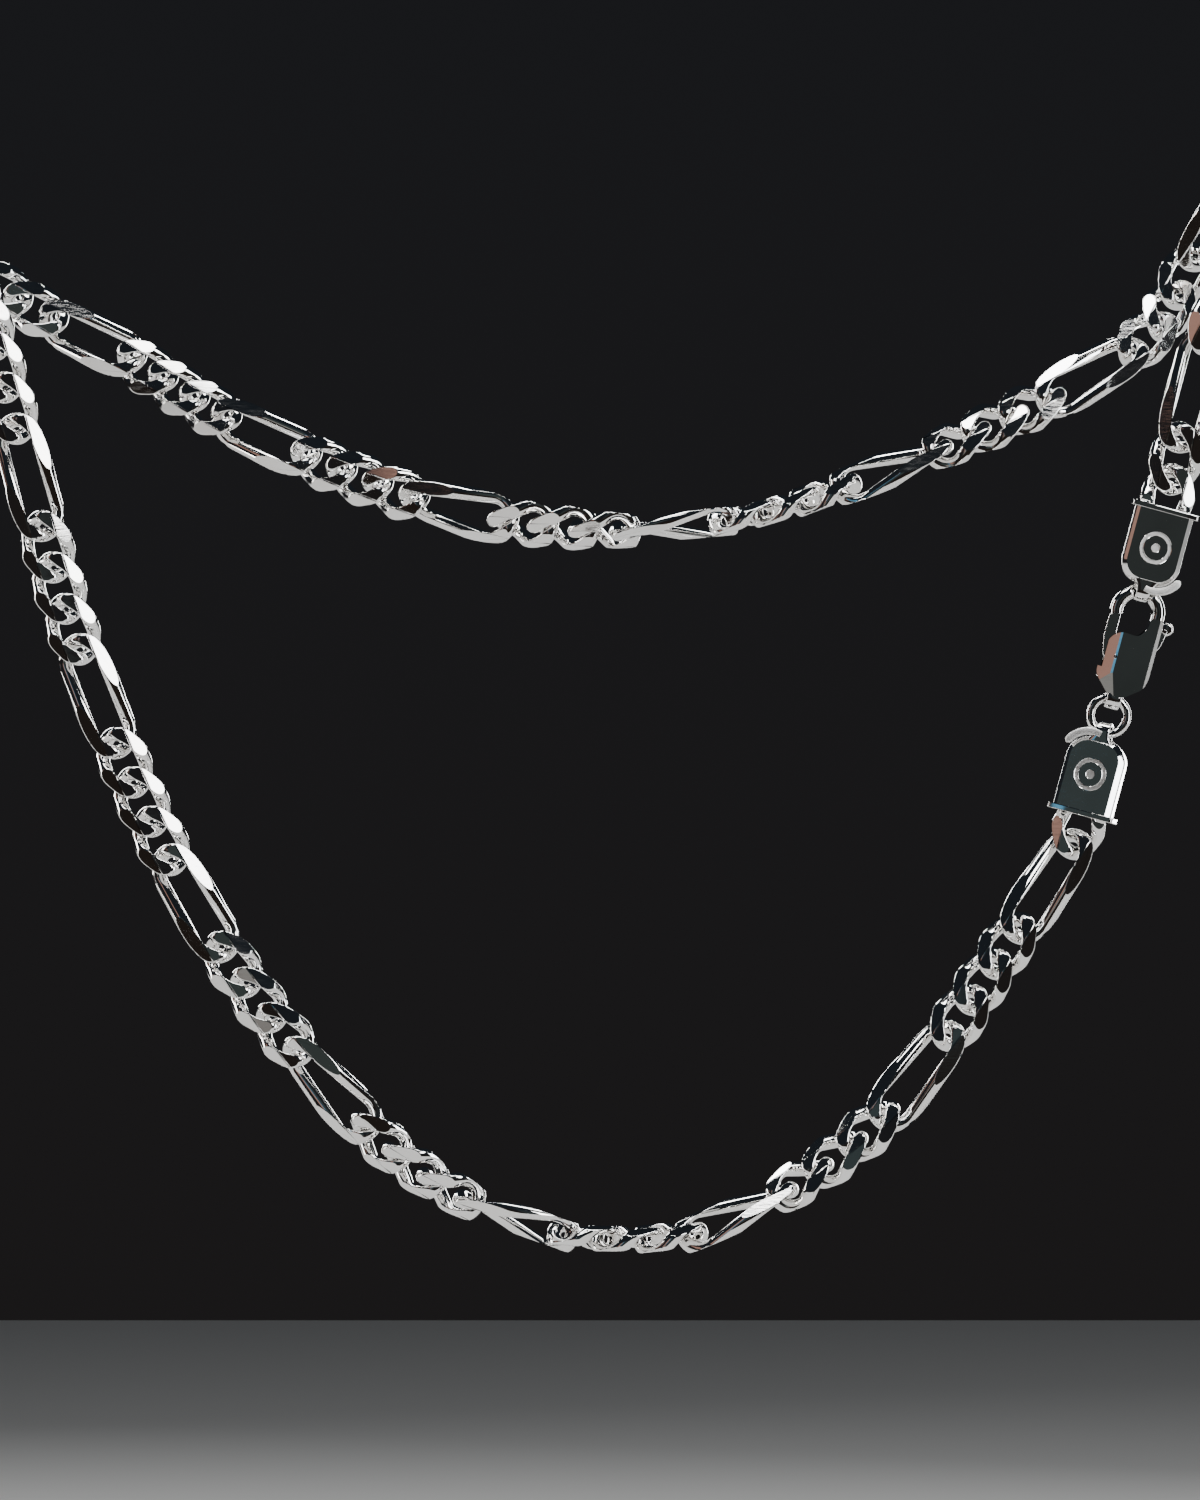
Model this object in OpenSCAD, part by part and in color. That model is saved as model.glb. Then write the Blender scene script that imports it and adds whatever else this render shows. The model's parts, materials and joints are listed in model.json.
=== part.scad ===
// Figaro chain necklace: three short curb links and one long link, repeated twenty times, closed by a
// lobster clasp between two soldered end tags. It hangs over a stand at its two tops.
// X points right, Y points back, Z points up. The origin lies between the two places where the
// necklace rests on its stand, close to their height.

/* [Chain] */
// Diameter of the round wire that the links are bent from
wire_d = 1.35; // [1.2:0.05:1.4]
// Outer width of every link
link_w = 5; // [4.8:0.1:5.2]
// Distance between the two joints of a short link
short_pitch = 4; // [3.9:0.05:4.1]
// Distance between the two joints of a long link
long_pitch = 9.3; // [9.2:0.05:9.4]
// Gap between the wires of two links that are pulled apart
play = 0.32; // [0.28:0.02:0.36]
// Angle at which the wire crosses the chain's plane at the ends of a short link
short_tilt = 54; // [52:1:56]
// The same angle at the ends of a long link
long_tilt = 41; // [38:1:43]
// Thickness of the chain between its two cut faces
cut_t = 2.1; // [2:0.1:2.4]
// Width of the flat middle of a cut face
cut_flat_w = 2.4; // [1.6:0.1:3]
// Slope of the cut face on each side of its flat middle
cut_bevel = 22; // [10:1:30]

/* [Tags] */
// Width of a tag
tag_w = 5.6; // [5.2:0.1:6]
// Length of a tag from the outer face of its end plate to its rounded end
tag_l = 7.4; // [7:0.1:7.8]
// Thickness of a tag
tag_t = 2.2; // [2:0.1:2.4]
// Wall of a tag's shell
tag_wall = 0.45; // [0.35:0.05:0.6]
// Width of the end plate
plate_w = 6.4; // [6:0.1:6.8]
// Thickness of the end plate
plate_t = 0.5; // [0.4:0.05:0.6]
// Turn of the lower tag about the line of the clasp
lower_turn = 16; // [0:1:25]
// Turn of the upper tag about the line of the clasp
upper_turn = 6; // [-10:1:15]

/* [Clasp] */
// Length of the lobster clasp from its eye to the top of its hook
clasp_l = 11.6; // [11.4:0.1:11.8]
// Outer width of the hook
hook_w = 5.2; // [5:0.1:5.3]
// Thickness of the clasp
clasp_t = 2; // [1.8:0.1:2.2]
// Thickness of the lever
lever_t = 0.9; // [0.8:0.05:1]
// Radius of the trigger's round knob
knob_r = 0.65; // [0.5:0.05:0.7]
// Diameter of the pivot pin
pin_d = 0.6; // [0.5:0.05:0.7]
// Turn of the clasp about the line of the clasp
clasp_turn = 4; // [-10:1:15]

/* [Jump ring] */
// Wire diameter of the jump ring
ring_wire_d = 0.8; // [0.7:0.05:0.85]
// Radius of the jump ring at the middle of its wire
ring_r = 1.7; // [1.65:0.05:1.75]

/* [Hidden] */
$fn = 48;
long_count = 20;
// the last long link that hangs from the lower tag's end of the chain
near_last = 9;

function two(k) = str(k < 10 ? "0" : "", k);

// ---- Route of the chain: places and face directions, from the lower tag round to the upper tag
stops = [
    [[44, -13, -67], [0.1, 1, -0.1]],
    [[36, -14, -79], [0, 1, -0.3]],
    [[28, -15, -90.4], [-0.2, 0.9, -0.6]],
    [[19, -15, -98], [-0.1, 0.6, -0.8]],
    [[9, -15, -103], [0, 0.3, -1]],
    [[-4, -15, -103.1], [0, -0.2, -1]],
    [[-13, -15, -99.6], [-0.1, -0.6, -0.8]],
    [[-21.5, -15, -93.4], [-0.3, -0.9, -0.5]],
    [[-32.5, -14, -80.5], [-0.1, -1, -0.1]],
    [[-41, -13, -66.3], [0, -1, 0]],
    [[-49, -13, -47], [0, -1, 0]],
    [[-54.6, -13, -27], [0, -1, 0]],
    [[-60, -12.5, -10], [-0.1, -1, 0.1]],
    [[-67.5, -8.5, 3], [-0.1, -0.8, 0.6]],
    [[-71, -1, 7], [0, -0.3, 1]],
    [[-71.8, 8, 5.2], [0, 0.4, 0.9]],
    [[-70, 15.5, -1], [0, 0.8, 0.6]],
    [[-63.5, 19.5, -9.5], [0, 1, 0.3]],
    [[-54.3, 20, -16], [0, 1, 0.1]],
    [[-47, 17, -19.6], [0, 1, 0.1]],
    [[-33.3, 10, -28], [0, 1, 0.1]],
    [[-14.2, 2, -35.6], [0, 0.9, 0.4]],
    [[1.9, -3, -37.7], [0, 0.5, 0.9]],
    [[13, -4, -36.6], [0, 0, 1]],
    [[23, -4, -33.6], [-0.1, -0.4, 0.9]],
    [[33, -3.5, -29.6], [-0.2, -0.7, 0.7]],
    [[46.4, 0, -23], [-0.2, -1, 0.2]],
    [[52.5, 2.5, -18.5], [-0.1, -1, 0]],
    [[55.5, 5.5, -13], [-0.1, -1, -0.2]],
    [[60.5, 3.5, -5.5], [0, -0.9, -0.5]],
    [[63, -2.5, -1.5], [0, -0.3, -1]],
    [[63, -10, -3.5], [0, 0.5, -0.8]],
    [[61, -14, -9], [0, 1, -0.3]],
    [[58.5, -15, -15.5], [0, 1, 0]],
    [[55.2, -14, -23], [0, 1, 0]],
    [[53.1, -13, -33.2], [0.1, 1, 0]]
];

function unit(v) = v / norm(v);
function stop_at(k) = stops[max(0, min(len(stops) - 1, k))];
// A Catmull-Rom curve through the stops, for their places and their face directions alike
function route(u) =
    let (k = min(len(stops) - 2, floor(u)), t = u - k)
    let (a = stop_at(k - 1), b = stop_at(k), c = stop_at(k + 1), d = stop_at(k + 2))
    0.5 * (2 * b + (c - a) * t + (2 * a - 5 * b + 4 * c - d) * t * t
        + (3 * b - a - 3 * c + d) * t * t * t);
function place(u) = route(u)[0];
// Where the curve is one pitch away from a joint, found by halving
function step(joint, pitch, low, high, tries = 24) =
    let (mid = (low + high) / 2)
    tries == 0 ? mid
    : norm(place(mid) - joint) < pitch ? step(joint, pitch, mid, high, tries - 1)
    : step(joint, pitch, low, mid, tries - 1);
// The curve's parameter at every joint of a run of links
function walk(pitches, u, way, k = 0) =
    k == len(pitches) ? [u]
    : concat([u], walk(pitches, step(place(u), pitches[k], u, u + 1.6 * way), way, k + 1));

trio = [short_pitch, short_pitch, short_pitch];
near_pitches = [for (k = [1:near_last], p = concat([long_pitch], trio)) p];
far_pitches = concat([short_pitch],
    [for (k = [1:long_count - near_last], p = concat([long_pitch], trio)) p]);
near_joints = walk(near_pitches, 0, 1);
far_joints = walk(far_pitches, len(stops) - 1, -1);

// A link's frame: its long way, its width and its face, from the joints at its two ends
function frame_of(from, to, face) =
    let (x = unit(to - from), y = unit(cross(face, x)), z = cross(x, y), o = (from + to) / 2)
    [[x[0], y[0], z[0], o[0]], [x[1], y[1], z[1], o[1]], [x[2], y[2], z[2], o[2]], [0, 0, 0, 1]];
function link_frame(joints, k) =
    frame_of(place(joints[k]), place(joints[k + 1]), route((joints[k] + joints[k + 1]) / 2)[1]);
// The first link of each named run, counted from its end tag
function long_index(k) = k <= near_last ? 4 * (k - 1) : 1 + 4 * (long_count - k);
function trio_index(k) = k <= near_last ? 4 * k - 3 : 4 * (long_count - k) - 2;
function joints_of(k) = k <= near_last ? near_joints : far_joints;

// ---- One link
wire_r = wire_d / 2;
half_w = (link_w - wire_d) / 2;
wire_sides = 8;
bend_steps = 3;
function half_length(pitch) = (pitch + wire_d + play) / 2;
function tip_tilt(pitch) = pitch > 2 * short_pitch ? -long_tilt : -short_tilt;

// Half the thickness that the cutting leaves at a distance from the middle of the chain
function cut_height(y) = cut_t / 2 - max(0, abs(y) - cut_flat_w / 2) * tan(cut_bevel);
function cut(p) = [p[0], p[1], sign(p[2]) * min(abs(p[2]), cut_height(p[1]))];

// A quarter of a link: [place, direction] of the wire from a tip to the start of a straight side.
// It is one round bend that meets the side without a kink.
function quarter(a, tilt) =
    let (slope = atan(half_w / a * tan(tilt)))
    let (side_l = (a * cos(slope) - half_w * cos(tilt)) / (1 + sin(tilt) * sin(slope)))
    let (tip = [a, 0, 0], tip_way = [0, cos(tilt), sin(tilt)])
    let (chord = [side_l * cos(slope), half_w, side_l * sin(slope)] - tip)
    let (lean = acos(tip_way * unit(chord)), bend_r = norm(chord) / 2 / sin(lean))
    let (inward = (unit(chord) - cos(lean) * tip_way) / sin(lean))
    [for (k = [0:bend_steps])
        let (t = 2 * lean * k / bend_steps)
        [tip + bend_r * ((1 - cos(t)) * inward + sin(t) * tip_way),
            sin(t) * inward + cos(t) * tip_way]];
// The whole wire is that quarter turned half way round each axis of the link
function around(q) =
    let (n = len(q) - 1, x = [1, -1, -1], y = [-1, 1, -1], z = [-1, -1, 1])
    concat([for (k = [0:n]) q[k]],
        [for (k = [n:-1:1]) [turned(q[k][0], y), -turned(q[k][1], y)]],
        [for (k = [0:n]) [turned(q[k][0], z), turned(q[k][1], z)]],
        [for (k = [n:-1:1]) [turned(q[k][0], x), -turned(q[k][1], x)]]);
function turned(v, signs) = [v[0] * signs[0], v[1] * signs[1], v[2] * signs[2]];
function ring_of(p) =
    let (out = unit(cross(p[1], [0, 0, 1])), up = cross(p[1], out))
    [for (j = [0:wire_sides - 1])
        let (t = 360 * (j + 0.5) / wire_sides)
        cut(p[0] + wire_r * (cos(t) * out + sin(t) * up))];

module link(pitch) {
    wire = around(quarter(half_length(pitch), tip_tilt(pitch)));
    rings = len(wire);
    points = [for (p = wire, q = ring_of(p)) q];
    color("silver") polyhedron(points, [
        for (i = [0:rings - 1], j = [0:wire_sides - 1])
            let (i2 = (i + 1) % rings, j2 = (j + 1) % wire_sides)
            let (a = i * wire_sides + j, b = i2 * wire_sides + j)
            let (c = i2 * wire_sides + j2, d = i * wire_sides + j2)
            each [[a, b, c], [a, c, d]]
    ]);
}

module long_link(k) {
    multmatrix(link_frame(joints_of(k), long_index(k)))
        if (k == near_last + 1) open_link();
        else link(long_pitch);
}

// The closing link stops short of its neighbour, so that the loop is open there
module open_link() {
    reach = half_length(long_pitch) - 3.4;
    intersection() {
        link(long_pitch);
        translate([-2 * long_pitch + reach, -link_w, -link_w])
            cube([2 * long_pitch, 2 * link_w, 2 * link_w]);
    }
}

module short_links(k) {
    for (n = [0:2])
        multmatrix(link_frame(joints_of(k), trio_index(k) + n)) link(short_pitch);
}

module short_link() {
    multmatrix(link_frame(far_joints, 0)) link(short_pitch);
}

// ---- Line of the clasp, from the lower tag's link to the upper tag's link
line_start = stops[0][0];
line_end = stops[len(stops) - 1][0];
line_way = unit(line_end - line_start);
line_l = norm(line_end - line_start);
plate_gap = 2.7;
bail_r = 1.05;
bail_hole_r = 0.64;
bail_w = 1.4;
// The hole in a bail, measured from the outer face of its tag's end plate
bail_at = tag_l + 0.56;
ring_at = plate_gap + bail_at + ring_r - 0.04;
eye_at = ring_at + ring_r - 0.04;
clasp_at = eye_at - 0.73;
hook_bar_r = 0.5;
hook_at = clasp_at + clasp_l - hook_bar_r;
upper_plate_at = hook_at + bail_at + 0.02;

// A frame on the line: X to the right, Y along the line, Z to the front, turned about the line
module on_line(at, turn = 0, flip = false) {
    right = unit(cross(line_way, [0, -1, 0]));
    front = cross(right, line_way);
    o = line_start + at * line_way;
    multmatrix([for (k = [0:2]) [right[k], line_way[k], front[k], o[k]]])
        rotate([0, turn, 0]) rotate([0, 0, flip ? 180 : 0]) children();
}

module rounded(w, h, r) {
    square([w - 2 * r, h], center = true);
    square([w, h - 2 * r], center = true);
    for (x = [-1, 1], y = [-1, 1])
        translate([x * (w / 2 - r), y * (h / 2 - r)]) circle(r);
}

// ---- Tags: Y runs from the outer face of the end plate to the rounded end
end_r = 2.1;
module tag_outline(inset) {
    w = tag_w - 2 * inset;
    r = end_r - inset;
    start = plate_t + inset;
    shoulder = tag_l - end_r;
    translate([-w / 2, start]) square([w, shoulder - start]);
    for (side = [-1, 1])
        translate([side * (tag_w / 2 - end_r), shoulder]) circle(r);
    translate([-(tag_w / 2 - end_r), shoulder - r]) square([tag_w - 2 * end_r, 2 * r]);
}

module along_y(length, at = 0) {
    translate([0, at, 0]) rotate([90, 0, 180]) linear_extrude(length) children();
}

module along_x(width) {
    rotate([90, 0, 90]) translate([0, 0, -width / 2]) linear_extrude(width) children();
}

// Section of a tag across its length: flat faces with a chamfer along each side
chamfer = 0.45;
module tag_section() {
    w = tag_w / 2;
    t = tag_t / 2;
    c = chamfer;
    polygon([[w, t - c], [w - c, t], [-w + c, t], [-w, t - c],
        [-w, -t + c], [-w + c, -t], [w - c, -t], [w, -t + c]]);
}

// Section along its length: a chamfer across the rounded end
module tag_side() {
    t = tag_t / 2;
    c = chamfer;
    polygon([[-1, -t], [tag_l - c, -t], [tag_l, -t + c], [tag_l, t - c], [tag_l - c, t], [-1, t]]);
}

mark_r = 1.5;
module engraved_mark() {
    depth = 0.12;
    translate([0, tag_l / 2 + 0.2, tag_t / 2 - depth]) {
        difference() {
            cylinder(h = 1, r = mark_r);
            translate([0, 0, -1]) cylinder(h = 3, r = mark_r - 0.34);
        }
        cylinder(h = 1, r = 0.4);
    }
}

module tag_shell() {
    color("silver") difference() {
        intersection() {
            translate([0, 0, -tag_t / 2]) linear_extrude(tag_t) tag_outline(0);
            along_y(2 * tag_l, -1) tag_section();
            along_x(2 * tag_w) tag_side();
        }
        translate([0, 0, -tag_t / 2 - 1]) linear_extrude(tag_t + 1 - tag_wall) tag_outline(tag_wall);
        engraved_mark();
    }
}

module tag_back() {
    color("silver") translate([0, 0, -tag_t / 2]) linear_extrude(tag_wall) tag_outline(tag_wall);
}

module tag_plate() {
    color("silver") along_y(plate_t) rounded(plate_w, tag_t + 0.5, 0.3);
}

// Short link that the end plate cuts off
module tag_link() {
    color("silver") intersection() {
        translate([0, -plate_gap + short_pitch / 2, 0]) rotate([0, 0, 90]) link(short_pitch);
        translate([-link_w, -2 * link_w, -link_w]) cube(2 * link_w);
    }
}

// Strap that folds over the next piece
module tag_bail() {
    color("silver") difference() {
        union() {
            translate([0, bail_at, 0]) rotate([0, 90, 0])
                cylinder(h = bail_w, r = bail_r, center = true);
            translate([-bail_w / 2, tag_l, -0.8]) cube([bail_w, 0.4, 1.6]);
            bail_tail();
        }
        translate([0, bail_at, 0]) rotate([0, 90, 0])
            cylinder(h = 4 * bail_w, r = bail_hole_r, center = true);
        translate([-bail_w, 0, -tag_t]) cube([2 * bail_w, tag_l, 2 * tag_t]);
    }
}

// The strap's tail curls round the tag's shoulder and keeps clear of the hook's round top
module bail_tail() {
    tail_w = 0.75;
    tail_t = 0.45;
    sweep = 68;
    tail_in = end_r + 0.05;
    difference() {
        translate([-(tag_w / 2 - end_r), tag_l - end_r, 0.64]) {
            rotate([0, 0, 90]) rotate_extrude(angle = sweep)
                translate([tail_in, 0]) square([tail_w, tail_t]);
            rotate([0, 0, 90 + sweep]) translate([tail_in + tail_w / 2, 0, 0])
                cylinder(h = tail_t, r = tail_w / 2);
        }
        difference() {
            translate([0, bail_at + hook_w / 2 - hook_bar_r, 0])
                cylinder(h = 2, r = hook_w / 2 + 0.1);
            translate([-0.9, 0, 0]) cube([2, 2 * tag_l, 3]);
        }
    }
}

// ---- Lobster clasp: Y runs from its lower end to the top of its hook
pivot = [-0.8, 4.5];
eye = [0, 0.73];
hook_mid = [0.05, clasp_l - hook_w / 2];
hook_in = 1.32;
// Heights of the hook's tip at its outer and its inner side
split_out = 8.2;
split_in = 9.1;
cheek_top = 6.7;
knob = [3.1, 8.2];

module clasp_outline() {
    w = hook_w / 2;
    difference() {
        union() {
            translate(hook_mid) circle(w);
            polygon([[-0.7, 0.9], [0.7, 0.9], [2.35, 2.2], [2.65, 3.2], [w + 0.05, hook_mid[1]],
                [hook_mid[0] - w, hook_mid[1]], [-2.25, 6], [-2.25, 2.6]]);
        }
        translate([hook_mid[0], 8.75]) rounded(2 * hook_in, 3.7, 0.9);
        polygon([[-4, cheek_top], [-hook_in + 0.02, cheek_top], [-hook_in + 0.02, 9.16],
            [-2.55, split_out], [-4, split_out]]);
    }
}

// Room for the lever in the middle of the clasp
module lever_room() {
    polygon([[-4, 3.4], [0.6, 3.2], [4, 4.4], [4, 9.3], [1.95, 9.3], [1.95, 7], [1.2, 7.8],
        [-hook_in + 0.3, 7.8], [-hook_in + 0.3, 9.2], [-2.55, split_out], [-4, split_out]]);
}

module clasp_body() {
    room_t = lever_t + 0.16;
    color("silver") difference() {
        union() {
            intersection() {
                translate([0, 0, -clasp_t / 2]) linear_extrude(clasp_t) clasp_outline();
                along_y(3 * clasp_l, -5)
                    polygon([[2.75, 0.45], [2.2, clasp_t / 2], [-1.7, clasp_t / 2], [-2.65, 0.45],
                        [-2.65, -0.45], [-1.7, -clasp_t / 2], [2.2, -clasp_t / 2], [2.75, -0.45]]);
                along_x(3 * hook_w)
                    polygon([[-5, -clasp_t / 2], [clasp_l - 0.6, -clasp_t / 2], [clasp_l, -0.4],
                        [clasp_l, 0.4], [clasp_l - 0.6, clasp_t / 2], [-5, clasp_t / 2]]);
            }
            translate([0, eye[1], 0]) rotate([0, 90, 0]) cylinder(h = 1.4, r = 1, center = true);
        }
        translate([0, eye[1], 0]) rotate([0, 90, 0])
            cylinder(h = 8, r = bail_hole_r, center = true);
        translate([0, 0, -room_t / 2]) linear_extrude(room_t) lever_room();
        translate([pivot[0], pivot[1], 0]) cylinder(h = 8, r = pin_d / 2, center = true);
        hook_relief();
    }
}

// Takes the middle of the hook's top down to a round bar, which the upper bail folds over
module hook_relief() {
    span = bail_w + 0.5;
    translate([0, clasp_l - hook_bar_r, 0]) rotate([0, 90, 0]) difference() {
        cylinder(h = span, r = 2, center = true);
        cylinder(h = span + 1, r = hook_bar_r, center = true);
    }
}

module clasp_lever() {
    color("silver") difference() {
        translate([0, 0, -lever_t / 2]) linear_extrude(lever_t) union() {
            polygon([[-2.15, 4.5], [-1.5, 3.9], [-0.8, 3.7], [2.1, 4.9], [2.95, 6.4], [3.3, 8.2],
                [2.6, 8.2], [2.15, 6.5], [-0.3, 5.4], [-1.36, 6.6], [-1.36, 9.02], [-2.45, 8.17],
                [-2.45, 6.2]]);
            translate(knob) circle(knob_r);
        }
        translate([pivot[0], pivot[1], 0]) cylinder(h = 8, r = pin_d / 2 + 0.03, center = true);
    }
}

module clasp_pin() {
    color("silver") translate([pivot[0], pivot[1], 0])
        cylinder(h = clasp_t, r = pin_d / 2, center = true);
}

// Bent leaf that presses the trigger arm up: one leg lies on the floor of the lever's room
module clasp_spring() {
    leaf_h = 0.6;
    color("dimgray") translate([0, 0, -leaf_h / 2]) linear_extrude(leaf_h)
        polygon([[2.4, 3.86], [0.75, 3.28], [0.45, 3.45], [0.4, 3.85], [0.7, 4.2], [1.9, 4.74],
            [1.95, 4.62], [0.78, 4.1], [0.52, 3.82], [0.56, 3.52], [0.78, 3.41], [2.36, 3.97]]);
}

// ---- Jump ring
module jump_ring() {
    color("silver") on_line(ring_at)
        rotate_extrude() translate([ring_r, 0]) circle(ring_wire_d / 2);
}

module on_lower_tag() {
    on_line(plate_gap, -lower_turn) children();
}

module on_upper_tag() {
    on_line(upper_plate_at, upper_turn, true) children();
}

module on_clasp() {
    on_line(clasp_at, clasp_turn) children();
}

for (k = [1:long_count])
    long_link(k);
for (k = [1:long_count - 1])
    short_links(k);
short_link();  // short_link_20
jump_ring();
on_clasp() clasp_body();
on_clasp() clasp_lever();
on_clasp() clasp_pin();
on_clasp() clasp_spring();
on_lower_tag() tag_shell();  // lower_tag_shell
on_lower_tag() tag_back();  // lower_tag_back
on_lower_tag() tag_plate();  // lower_tag_plate
on_lower_tag() tag_link();  // lower_tag_link
on_lower_tag() tag_bail();  // lower_tag_bail
on_upper_tag() tag_shell();  // upper_tag_shell
on_upper_tag() tag_back();  // upper_tag_back
on_upper_tag() tag_plate();  // upper_tag_plate
on_upper_tag() tag_link();  // upper_tag_link
on_upper_tag() tag_bail();  // upper_tag_bail
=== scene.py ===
"""Looks of the figaro chain necklace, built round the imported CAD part. Lengths are in millimetres until
a mesh is finished, and in metres after that."""
import json
import math

import bmesh
import bpy
import numpy as np
from mathutils import Matrix, Vector


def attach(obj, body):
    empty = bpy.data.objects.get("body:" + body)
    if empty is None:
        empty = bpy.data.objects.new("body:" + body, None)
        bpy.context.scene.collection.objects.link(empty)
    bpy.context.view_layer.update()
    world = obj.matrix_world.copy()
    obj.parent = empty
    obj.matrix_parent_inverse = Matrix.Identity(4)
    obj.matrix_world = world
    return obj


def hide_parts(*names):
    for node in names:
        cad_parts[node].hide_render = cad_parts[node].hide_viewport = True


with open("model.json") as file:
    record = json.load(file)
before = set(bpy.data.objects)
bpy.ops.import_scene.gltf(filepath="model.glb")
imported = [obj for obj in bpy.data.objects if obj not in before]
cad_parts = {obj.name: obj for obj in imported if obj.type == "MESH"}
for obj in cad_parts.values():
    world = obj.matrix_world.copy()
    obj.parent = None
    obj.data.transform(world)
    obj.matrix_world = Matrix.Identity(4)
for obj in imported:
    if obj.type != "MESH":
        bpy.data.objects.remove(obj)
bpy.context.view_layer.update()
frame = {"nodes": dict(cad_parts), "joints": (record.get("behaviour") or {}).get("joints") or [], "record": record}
MM = 0.001

# ---- Sizes repeated from the CAD part, but for the short links' twist, which is 2 degrees more here
WIRE_R = 0.675
LINK_W = 5.0
SHORT_PITCH, LONG_PITCH = 4.0, 9.3
PLAY = 0.32
SHORT_TILT, LONG_TILT = 56.0, 41.0
CUT_T, CUT_FLAT_W, CUT_BEVEL = 2.1, 2.4, 22.0
LINE_START = np.array([44.0, -13.0, -67.0])
LINE_END = np.array([53.1, -13.0, -33.2])
PLATE_GAP, PLATE_W, PLATE_T = 2.7, 6.4, 0.5
TAG_W, TAG_L, TAG_T, TAG_END_R = 5.6, 7.4, 2.2, 2.1
TAG_CHAMFER, TAG_WALL = 0.45, 0.45
MARK_R, MARK_LINE, MARK_DOT_R, MARK_DEPTH = 1.5, 0.34, 0.4, 0.12
BAIL_W, BAIL_R, BAIL_HOLE_R = 1.4, 1.05, 0.64
BAIL_AT = TAG_L + 0.56
RING_R, RING_WIRE_D = 1.7, 0.8
CLASP_L, HOOK_BAR_R, EYE_AT_CLASP = 11.6, 0.5, 0.73
CLASP_T, LEVER_T, LEVER_ROOM = 2.0, 0.9, 1.0
KNOB_R, KNOB_AT = 0.65, (3.1, 8.2)
PIN_R, PIN_AT = 0.3, (-0.8, 4.5)
LOWER_TURN, UPPER_TURN, CLASP_TURN = -16.0, 6.0, 4.0
# Places along the line of the clasp, from the lower tag's link
RING_AT = PLATE_GAP + BAIL_AT + RING_R - 0.04
CLASP_AT = RING_AT + RING_R - 0.04 - EYE_AT_CLASP
UPPER_PLATE_AT = CLASP_AT + CLASP_L - HOOK_BAR_R + BAIL_AT + 0.02


def unit(v):
    return np.asarray(v, float) / np.linalg.norm(v)


# ---- Camera: level, far away and with a long lens, so that the chain is drawn almost without perspective
cam_data = bpy.data.cameras.new("camera")
cam_data.lens = 233.28
cam_data.sensor_width = 36.0
cam_data.clip_start, cam_data.clip_end = 0.05, 20.0
camera = bpy.data.objects.new("camera", cam_data)
bpy.context.scene.collection.objects.link(camera)
camera.location = (0.0, -0.915, -0.0583)
camera.rotation_euler = (math.radians(90), 0, 0)
bpy.context.scene.camera = camera


# ---- Materials
def new_material(name):
    mat = bpy.data.materials.new(name)
    mat.use_nodes = True
    nodes, links = mat.node_tree.nodes, mat.node_tree.links
    bsdf = nodes["Principled BSDF"]
    return mat, nodes, links, bsdf


def silver(name, tint=(0.95, 0.945, 0.935), rough=(0.03, 0.10), scratch=0.05):
    """Polished silver: faint cloudy tarnish, hairline scratches and a little uneven gloss."""
    mat, nodes, links, bsdf = new_material(name)
    bsdf.inputs["Metallic"].default_value = 1.0
    where = nodes.new("ShaderNodeTexCoord")
    cloud = nodes.new("ShaderNodeTexNoise")
    cloud.inputs["Scale"].default_value = 260.0
    cloud.inputs["Detail"].default_value = 4.0
    links.new(where.outputs["Object"], cloud.inputs["Vector"])
    colour = nodes.new("ShaderNodeValToRGB")
    colour.color_ramp.elements[0].position = 0.35
    colour.color_ramp.elements[1].position = 0.65
    colour.color_ramp.elements[0].color = (tint[0] * 0.93, tint[1] * 0.92, tint[2] * 0.91, 1)
    colour.color_ramp.elements[1].color = (*tint, 1)
    links.new(cloud.outputs["Fac"], colour.inputs["Fac"])
    links.new(colour.outputs["Color"], bsdf.inputs["Base Color"])
    # Hairlines: noise stretched along one way and thinned to its ridges
    stretch = nodes.new("ShaderNodeMapping")
    stretch.inputs["Scale"].default_value = (900.0, 900.0, 6000.0)
    stretch.inputs["Rotation"].default_value = (0.5, 0.9, 0.3)
    links.new(where.outputs["Object"], stretch.inputs["Vector"])
    hair = nodes.new("ShaderNodeTexNoise")
    hair.inputs["Scale"].default_value = 1.0
    hair.inputs["Detail"].default_value = 3.0
    links.new(stretch.outputs["Vector"], hair.inputs["Vector"])
    gloss = nodes.new("ShaderNodeMapRange")
    gloss.inputs["From Min"].default_value = 0.35
    gloss.inputs["From Max"].default_value = 0.75
    gloss.inputs["To Min"].default_value = rough[0]
    gloss.inputs["To Max"].default_value = rough[1]
    links.new(hair.outputs["Fac"], gloss.inputs["Value"])
    links.new(gloss.outputs["Result"], bsdf.inputs["Roughness"])
    bump = nodes.new("ShaderNodeBump")
    bump.inputs["Strength"].default_value = scratch
    bump.inputs["Distance"].default_value = 0.00002
    links.new(hair.outputs["Fac"], bump.inputs["Height"])
    links.new(bump.outputs["Normal"], bsdf.inputs["Normal"])
    return mat


SILVER = silver("polished_silver")
FROSTED = silver("frosted_mark", tint=(0.97, 0.97, 0.96), rough=(0.5, 0.62), scratch=0.3)
FROSTED_SLOT = 1
STEEL = silver("spring_steel", tint=(0.45, 0.46, 0.48), rough=(0.2, 0.3), scratch=0.1)


# ---- Links
def half_length(pitch):
    """From a link's middle to the middle of its wire at the tip, for a joint distance of pitch."""
    return (pitch + 2 * WIRE_R + PLAY) / 2


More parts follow.
